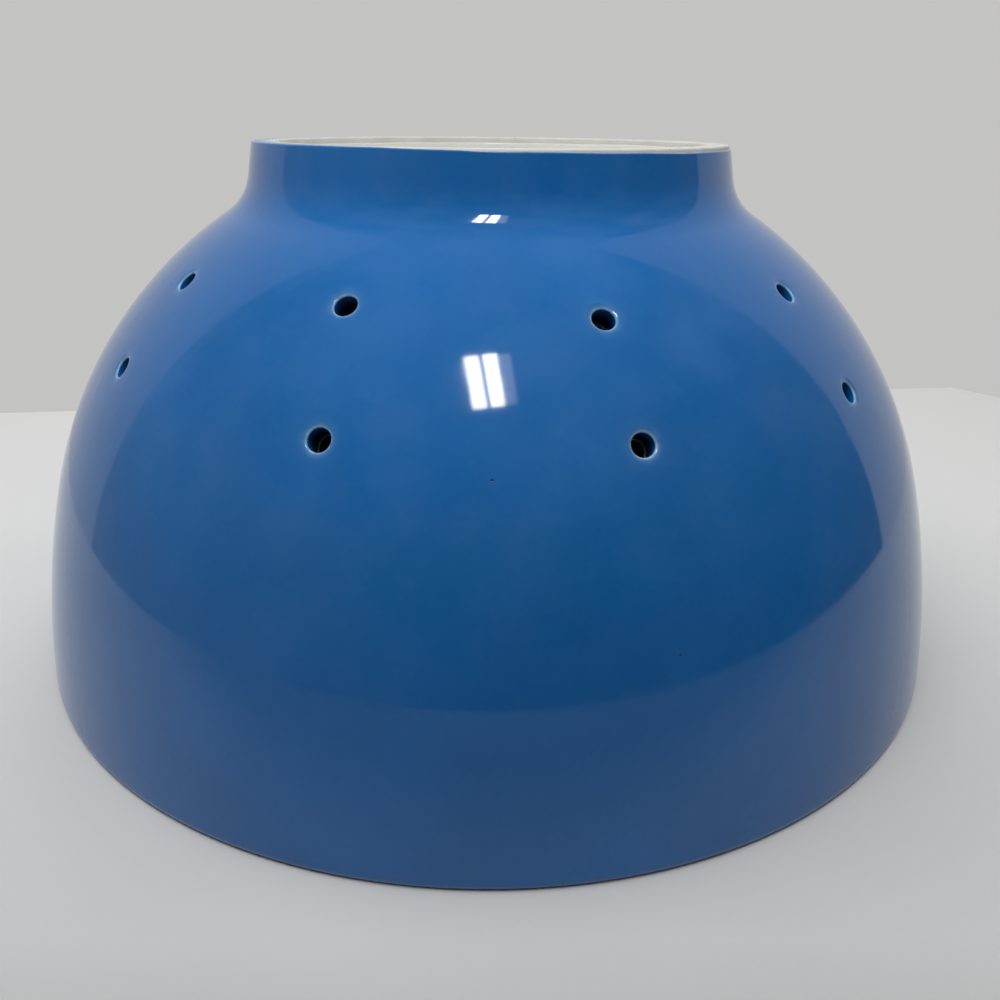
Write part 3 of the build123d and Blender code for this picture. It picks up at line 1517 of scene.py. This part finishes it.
@dataclass(frozen=True)
class Glaze:
    """Glossy fired glaze: its colour where it lies thick, where it pools and where it has run thin, with painted shade
    low down and in the bores of the holes.

    Attributes:
        thick: Colour of most of the coat.
        pooled_and_shade: Colour of the patches where it lies thickest, also used lower down as painted shade.
        thin: Colour where it has run thin over an edge.
        deep: Colour painted in the bores of the holes as their shade.
        speck: Colour of specks and pinholes.
        gloss: Roughness at the glossiest and at the dullest.
        wave: Height of the slow unevenness of the surface.
        ripple: Height of the finer unevenness.
        mottle: Most that the thin colour shows in the fine mottle of the coat.
        pinholes: Share of cells that hold a pinhole.
        low_shade: How far the pooled colour is laid on by height as painted shade, darker towards the rim.
        low_shade_heights: Heights between which that painted shade grows.
        patch_size: Size of the patches where it lies thickest.
        mottle_size: Size of the fine mottle, and of the breaks in the thin places.
        dull_size: Size of the duller patches.
        wave_size: Size of the slow unevenness.
        ripple_size: Size of the finer unevenness.
        grain_size: Size of the finest unevenness.
        grain: Height of the finest unevenness.
        pinhole_cell: Size of the cells that may hold a pinhole.
        pinhole_radius: Radius of the largest pinholes.
        pinhole_depth: Depth of a pinhole.
    """

    name: str
    thick: Colour
    pooled_and_shade: Colour
    thin: Colour
    deep: Colour
    speck: Colour
    gloss: tuple[float, float] = (0.05, 0.10)
    wave: float = 0.040 * MM
    ripple: float = 0.006 * MM
    mottle: float = 0.012
    pinholes: float = 0.07
    low_shade: float = 0.72
    low_shade_heights: tuple[float, float] = (122.0 * MM, 40.0 * MM)
    patch_size: float = 38.0 * MM
    mottle_size: tuple[float, float] = (1.6 * MM, 1.5 * MM)
    dull_size: float = 22.0 * MM
    wave_size: float = 30.0 * MM
    ripple_size: float = 6.5 * MM
    grain_size: float = 1.1 * MM
    grain: float = 0.0005 * MM
    pinhole_cell: float = 7.0 * MM
    pinhole_radius: float = 0.34 * MM
    pinhole_depth: float = 0.05 * MM

    def material(self) -> bpy.types.Material:
        """Mix the glaze.

        Returns:
            The material.
        """
        recipe = Recipe(self.name)
        patches = recipe.span(recipe.noise(self.patch_size, 3.0), 0.35, 0.68, 0.0, 1.0 - self.low_shade)
        height = recipe.add("ShaderNodeSeparateXYZ", {"Vector": recipe.place}).outputs["Z"]
        # Painted shade: the pooled colour grows lower down, darker towards the rim.
        low = recipe.span(height, *self.low_shade_heights, 0.0, self.low_shade)
        colour = recipe.blend(recipe.sum("ADD", patches, low), self.thick, self.pooled_and_shade)
        mottled = recipe.span(recipe.noise(self.mottle_size[0], 3.0), 0.4, 0.8, 0.0, self.mottle)
        colour = recipe.blend(mottled, colour, self.thin)
        run = recipe.add("ShaderNodeAttribute", attribute_name="thin").outputs["Fac"]
        thin = recipe.span(run, 0.0, 1.0)
        broken = recipe.span(recipe.noise(self.mottle_size[1], 3.0), 0.32, 0.62, 0.5, 1.0)
        colour = recipe.blend(recipe.sum("MULTIPLY", thin, broken), colour, self.thin)
        # Painted shade in the bores: negative values of the attribute blend towards the deep colour.
        colour = recipe.blend(recipe.span(run, 0.0, -1.0), colour, self.deep)
        pinhole = recipe.spots(self.pinhole_cell, self.pinhole_radius, self.pinholes)
        colour = recipe.blend(pinhole, colour, self.speck)
        dull = recipe.span(recipe.noise(self.dull_size, 3.0), 0.35, 0.7, *self.gloss)
        normal = recipe.relief((
            (recipe.noise(self.wave_size, 1.0), self.wave),
            (recipe.noise(self.ripple_size, 1.0), self.ripple),
            (recipe.noise(self.grain_size, 1.0), self.grain),
            (pinhole, -self.pinhole_depth),
        ))
        return recipe.surface({"Base Color": colour, "Roughness": dull, "Normal": normal, "IOR": 1.50})


@dataclass(frozen=True)
class BareClay:
    """Fired clay without glaze, with fine grain and a few iron specks.

    Attributes:
        body: Colour of most of the clay.
        shade: Colour of its darker patches and grain.
        speck: Colour of the specks.
        washed: Colour under a film of blue glaze.
        patch_size: Size of the patches.
        grain_size: Size of the grain.
        grain: Height of the grain.
        pit_size: Size of the coarser unevenness.
        pit: Height of the coarser unevenness.
        speck_cell: Size of the cells that may hold a speck.
        speck_radius: Radius of the largest specks.
        specks: Share of cells that hold a speck.
    """

    name: str
    body: Colour
    shade: Colour
    speck: Colour
    washed: Colour
    patch_size: float = 9.0 * MM
    grain_size: float = 0.5 * MM
    grain: float = 0.03 * MM
    pit_size: float = 2.2 * MM
    pit: float = 0.02 * MM
    speck_cell: float = 1.8 * MM
    speck_radius: float = 0.2 * MM
    specks: float = 0.25

    def material(self) -> bpy.types.Material:
        """Mix the clay.

        Returns:
            The material.
        """
        recipe = Recipe(self.name)
        patches = recipe.span(recipe.noise(self.patch_size, 4.0), 0.35, 0.7)
        colour = recipe.blend(patches, self.body, self.shade)
        grain = recipe.noise(self.grain_size, 4.0)
        colour = recipe.blend(recipe.span(grain, 0.5, 0.85, 0.0, 0.4), colour, self.shade)
        specks = recipe.spots(self.speck_cell, self.speck_radius, self.specks)
        colour = recipe.blend(specks, colour, self.speck)
        wash = recipe.add("ShaderNodeAttribute", attribute_name="wash").outputs["Fac"]
        colour = recipe.blend(wash, colour, self.washed)
        dry = recipe.span(grain, 0.3, 0.7, 0.62, 0.86)
        dull = recipe.sum("MULTIPLY", dry, recipe.span(wash, 0.0, 1.0, 1.0, 0.3))
        normal = recipe.relief(((grain, self.grain), (recipe.noise(self.pit_size, 2.0), self.pit)))
        return recipe.surface({"Base Color": colour, "Roughness": dull, "Normal": normal})


class Finish(Enum):
    """Finishes of the pot."""

    # Each glaze's pooled colour also serves as painted shade low on the pot, and its deep colour as painted shade in
    # the bores.
    BLUE = Glaze(
        "cobalt_glaze", thick=(0.0050, 0.144, 0.460), pooled_and_shade=(0.0038, 0.094, 0.302),
        thin=(0.42, 0.68, 0.82), deep=(0.0015, 0.020, 0.060), speck=(0.004, 0.018, 0.075),
    )
    WHITE = Glaze(
        "milk_white_glaze", thick=(0.800, 0.798, 0.765), pooled_and_shade=(0.765, 0.770, 0.745),
        thin=(0.720, 0.705, 0.660), deep=(0.640, 0.640, 0.610), speck=(0.180, 0.140, 0.100), gloss=(0.08, 0.14),
    )
    CLAY = BareClay(
        "bare_stoneware", body=(0.680, 0.668, 0.635), shade=(0.600, 0.580, 0.535), speck=(0.300, 0.230, 0.170),
        washed=(0.110, 0.300, 0.500),
    )


def dress(piece: bpy.types.Object, finish: Finish, node: str) -> None:
    """Give a piece its finish and its place in the part.

    Args:
        piece: The piece.
        finish: Its finish.
        node: CAD node that it stands for.
    """
    piece.data.materials.clear()
    piece.data.materials.append(finish.value.material())
    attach(piece, "root")
    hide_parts(node)


# Studio and camera


@dataclass(frozen=True)
class Lamp:
    """Flat studio lamp with an even face, turned by a roll in degrees and set aside along its own width."""

    name: str
    place: tuple[float, float, float]
    aim: tuple[float, float, float]
    width: float
    height: float
    radiance: float
    roll: float = 0.0
    aside: float = 0.0
    seen_in_gloss: bool = True

    def hang(self) -> None:
        """Add the lamp to the scene."""
        light = bpy.data.lights.new(self.name, "AREA")
        light.shape = "RECTANGLE"
        light.size = self.width
        light.size_y = self.height
        light.energy = self.radiance * math.pi * self.width * self.height
        lamp = bpy.data.objects.new(self.name, light)
        way = Vector(self.aim) - Vector(self.place)
        turn = way.to_track_quat("-Z", "Y").to_matrix() @ Matrix.Rotation(math.radians(self.roll), 3, "Z")
        lamp.location = Vector(self.place) + turn @ Vector((self.aside, 0.0, 0.0))
        lamp.rotation_euler = turn.to_euler()
        lamp.visible_glossy = self.seen_in_gloss
        bpy.context.scene.collection.objects.link(lamp)


@dataclass
class Studio:
    """Pale table, darkened towards the camera by painted shade, and background, with a dim screen round the camera that
    only gloss shows.

    Attributes:
        table_reach: Radius of the table's round front edge.
        table_shift: How far its middle lies to the right of the axis.
        back_edge: Places of the table's straight far edge, left and right.
        wall: Level of the pale background.
        fill: Level of the light that comes from all round.
        screen_radius: Distance of the dim screen.
        screen_share: The screen ends at this share of its radius behind the axis.
        screen_level: Level of the dim screen at the table's height and high up.
        screen_side: How much brighter the screen is low down on the left.
        screen_tint: Colour of the screen.
        cloth: Colour of the table, far from the camera.
        front_shaded_cloth: Colour of the table before the pot, darker as painted shade.
        near_shaded_cloth: Colour of the table under the camera, darker still as painted shade.
    """

    table_reach: float = 0.335
    table_shift: float = 0.012
    back_edge: tuple[tuple[float, float], tuple[float, float]] = ((-0.31, 0.164), (0.315, 0.236))
    wall: float = 0.55
    fill: float = 0.10
    screen_radius: float = 1.6
    screen_share: float = 0.28
    screen_level: tuple[float, float] = (0.11, 0.42)
    screen_side: float = 0.22
    screen_tint: Colour = (0.90, 0.97, 1.0)
    cloth: Colour = (0.72, 0.72, 0.71)
    front_shaded_cloth: Colour = (0.475, 0.48, 0.48)
    near_shaded_cloth: Colour = (0.33, 0.33, 0.325)

    def table(self) -> None:
        """Add the table: a round front and a straight far edge, darker towards the camera as painted shade."""
        bpy.ops.object.select_all(action="DESELECT")
        bpy.ops.mesh.primitive_circle_add(
            vertices=96, radius=self.table_reach, fill_type="NGON", enter_editmode=True, location=ORIGIN
        )
        bpy.ops.transform.translate(value=(self.table_shift, 0.0, 0.0))
        left, right = (Vector((*place, 0.0)) for place in self.back_edge)
        along = right - left
        bpy.ops.mesh.select_all(action="SELECT")
        bpy.ops.mesh.bisect(
            plane_co=tuple(left), plane_no=(-along.y, along.x, 0.0), clear_outer=True, use_fill=False
        )
        bpy.ops.object.mode_set(mode="OBJECT")
        table = bpy.context.object
        table.name = "table"
        recipe = Recipe("pale_cloth")
        weave = recipe.noise(0.7 * MM, 3.0)
        depth = recipe.add("ShaderNodeSeparateXYZ", {"Vector": recipe.place}).outputs["Y"]
        # Painted shade: the table darkens towards the front, and more under the camera.
        front_shade = recipe.span(depth, 0.05, -0.22)
        soft = recipe.span(recipe.noise(90.0 * MM, 2.0), 0.3, 0.7, 0.85, 1.0)
        colour = recipe.blend(recipe.sum("MULTIPLY", front_shade, soft), self.cloth, self.front_shaded_cloth)
        near = recipe.span(depth, -0.135, -0.20)
        colour = recipe.blend(near, colour, self.near_shaded_cloth)
        normal = recipe.relief(((weave, 0.05 * MM),))
        table.data.materials.append(recipe.surface({"Base Color": colour, "Roughness": 0.9, "Normal": normal}))

    def screen(self) -> None:
        """Add the dim screen: the part of a sphere in front of the pot, seen in gloss alone."""
        bpy.ops.object.select_all(action="DESELECT")
        bpy.ops.mesh.primitive_uv_sphere_add(
            segments=64, ring_count=32, radius=self.screen_radius, enter_editmode=True, location=ORIGIN
        )
        bpy.ops.mesh.select_all(action="SELECT")
        bpy.ops.mesh.bisect(
            plane_co=(0.0, self.screen_share * self.screen_radius, 0.0), plane_no=(0.0, 1.0, 0.0), clear_outer=True
        )
        bpy.ops.object.mode_set(mode="OBJECT")
        screen = bpy.context.object
        screen.name = "dim_screen"
        recipe = Recipe("dim_screen")
        place = recipe.add("ShaderNodeSeparateXYZ", {"Vector": recipe.place}).outputs
        reach = self.screen_radius
        level = recipe.span(place["Z"], 0.15 * reach, 0.90 * reach, *self.screen_level)
        uneven = recipe.span(recipe.noise(0.45, 4.0), 0.35, 0.65, 0.6, 1.4)
        side = recipe.span(place["X"], -0.15 * reach, -0.75 * reach, 0.0, self.screen_side)
        side = recipe.sum("MULTIPLY", side, recipe.span(place["Z"], 0.35 * reach, 0.70 * reach, 1.0, 0.0))
        soft = recipe.sum("ADD", recipe.sum("MULTIPLY", level, uneven), side)
        glow = recipe.add("ShaderNodeEmission", {"Color": (*self.screen_tint, 1.0), "Strength": soft})
        recipe.add("ShaderNodeOutputMaterial", {"Surface": glow.outputs["Emission"]})
        screen.data.materials.append(recipe.material)
        for ray in ("camera", "diffuse", "shadow", "transmission", "volume_scatter"):
            setattr(screen, "visible_" + ray, False)

    def background(self) -> None:
        """Set the world: one even pale level to look at, and another that lights."""
        world = bpy.data.worlds.new("pale_room")
        bpy.context.scene.world = world
        nodes = NodeTree(world)
        rays = nodes.add("ShaderNodeLightPath").outputs
        seen = nodes.sum("MAXIMUM", rays["Is Camera Ray"], rays["Is Glossy Ray"])
        seen = nodes.sum("MAXIMUM", seen, rays["Is Transmission Ray"])
        fill = nodes.add("ShaderNodeBackground", {"Color": (1.0, 1.0, 1.0, 1.0), "Strength": self.fill})
        wall = nodes.add("ShaderNodeBackground", {"Color": (1.0, 0.995, 0.985, 1.0), "Strength": self.wall})
        levels = {0: seen, 1: fill.outputs["Background"], 2: wall.outputs["Background"]}
        mixed = nodes.add("ShaderNodeMixShader", levels)
        nodes.add("ShaderNodeOutputWorld", {"Surface": mixed.outputs["Shader"]})

    def lamps(self) -> tuple[Lamp, ...]:
        """Lamps of the studio: three tall ones side by side in front, above the camera, and five wide ones.

        Returns:
            The lamps.
        """
        window = (-0.026, -0.54, 1.10)
        aim = (-0.002, -0.075, 0.095)
        return (
            Lamp("key_left", window, aim, 0.062, 0.280, 31.0, roll=11.0, aside=-0.040),
            Lamp("key_right", window, aim, 0.062, 0.280, 31.0, roll=11.0, aside=0.040),
            Lamp("key_side", window, aim, 0.055, 0.270, 2.4, roll=11.0, aside=0.100),
            Lamp("near_soft", (-0.10, -0.30, 0.62), (0.0, -0.05, 0.10), 0.5, 0.4, 1.8, seen_in_gloss=False),
            Lamp("left_high", (-0.90, 0.20, 1.10), (0.0, 0.0, 0.05), 0.9, 0.9, 1.55, seen_in_gloss=False),
            Lamp("right_high", (0.90, 0.10, 1.00), (0.0, 0.0, 0.05), 0.9, 0.9, 0.75, seen_in_gloss=False),
            Lamp("top", (0.0, 0.0, 1.40), (0.0, 0.001, 0.0), 1.2, 1.2, 1.05, seen_in_gloss=False),
            Lamp("back_high", (0.0, 1.30, 0.90), (0.0, 0.0, 0.10), 1.2, 0.9, 1.75, seen_in_gloss=False),
        )

    def build(self) -> None:
        """Set up the whole studio."""
        self.table()
        self.screen()
        self.background()
        for lamp in self.lamps():
            lamp.hang()
        bpy.context.scene.view_settings.view_transform = "Standard"


@dataclass(frozen=True)
class Camera:
    """Camera at the photograph's viewing angle, with its angles in degrees."""

    place: tuple[float, float, float] = (0.0, -0.2523, 0.1357)
    down: float = 23.08
    yaw: float = 0.71
    roll: float = 0.57
    lens: float = 32.292
    sensor: float = 36.0

    def build(self) -> None:
        """Add the camera and look through it."""
        pitch, yaw, roll = (math.radians(angle) for angle in (self.down, self.yaw, self.roll))
        ahead = Vector((math.sin(yaw) * math.cos(pitch), math.cos(yaw) * math.cos(pitch), -math.sin(pitch)))
        level = Vector((math.cos(yaw), -math.sin(yaw), 0.0))
        upright = level.cross(ahead)
        right = level * math.cos(roll) + upright * math.sin(roll)
        up = upright * math.cos(roll) - level * math.sin(roll)
        data = bpy.data.cameras.new("camera")
        data.sensor_width = self.sensor
        data.lens = self.lens
        data.clip_start = 0.01
        camera = bpy.data.objects.new("camera", data)
        camera.matrix_world = Matrix.Translation(self.place) @ Matrix((right, up, -ahead)).transposed().to_4x4()
        bpy.context.scene.collection.objects.link(camera)
        bpy.context.scene.camera = camera


def main() -> None:
    """Build the studio, the camera and every piece of the colander."""
    logging.basicConfig(level=logging.INFO, format="%(name)s: %(message)s")
    Studio().build()
    Camera().build()
    finishes = (
        (ClayBody(), Finish.CLAY), (BlueCoat(), Finish.BLUE), (WhiteLining(), Finish.WHITE),
        (RecessCoat(), Finish.WHITE),
    )
    for part, finish in finishes:
        piece = part.build()
        dress(piece, finish, part.node)
        LOG.info("%s: %d faces", piece.name, len(piece.data.polygons))


if __name__ == "__main__":
    main()
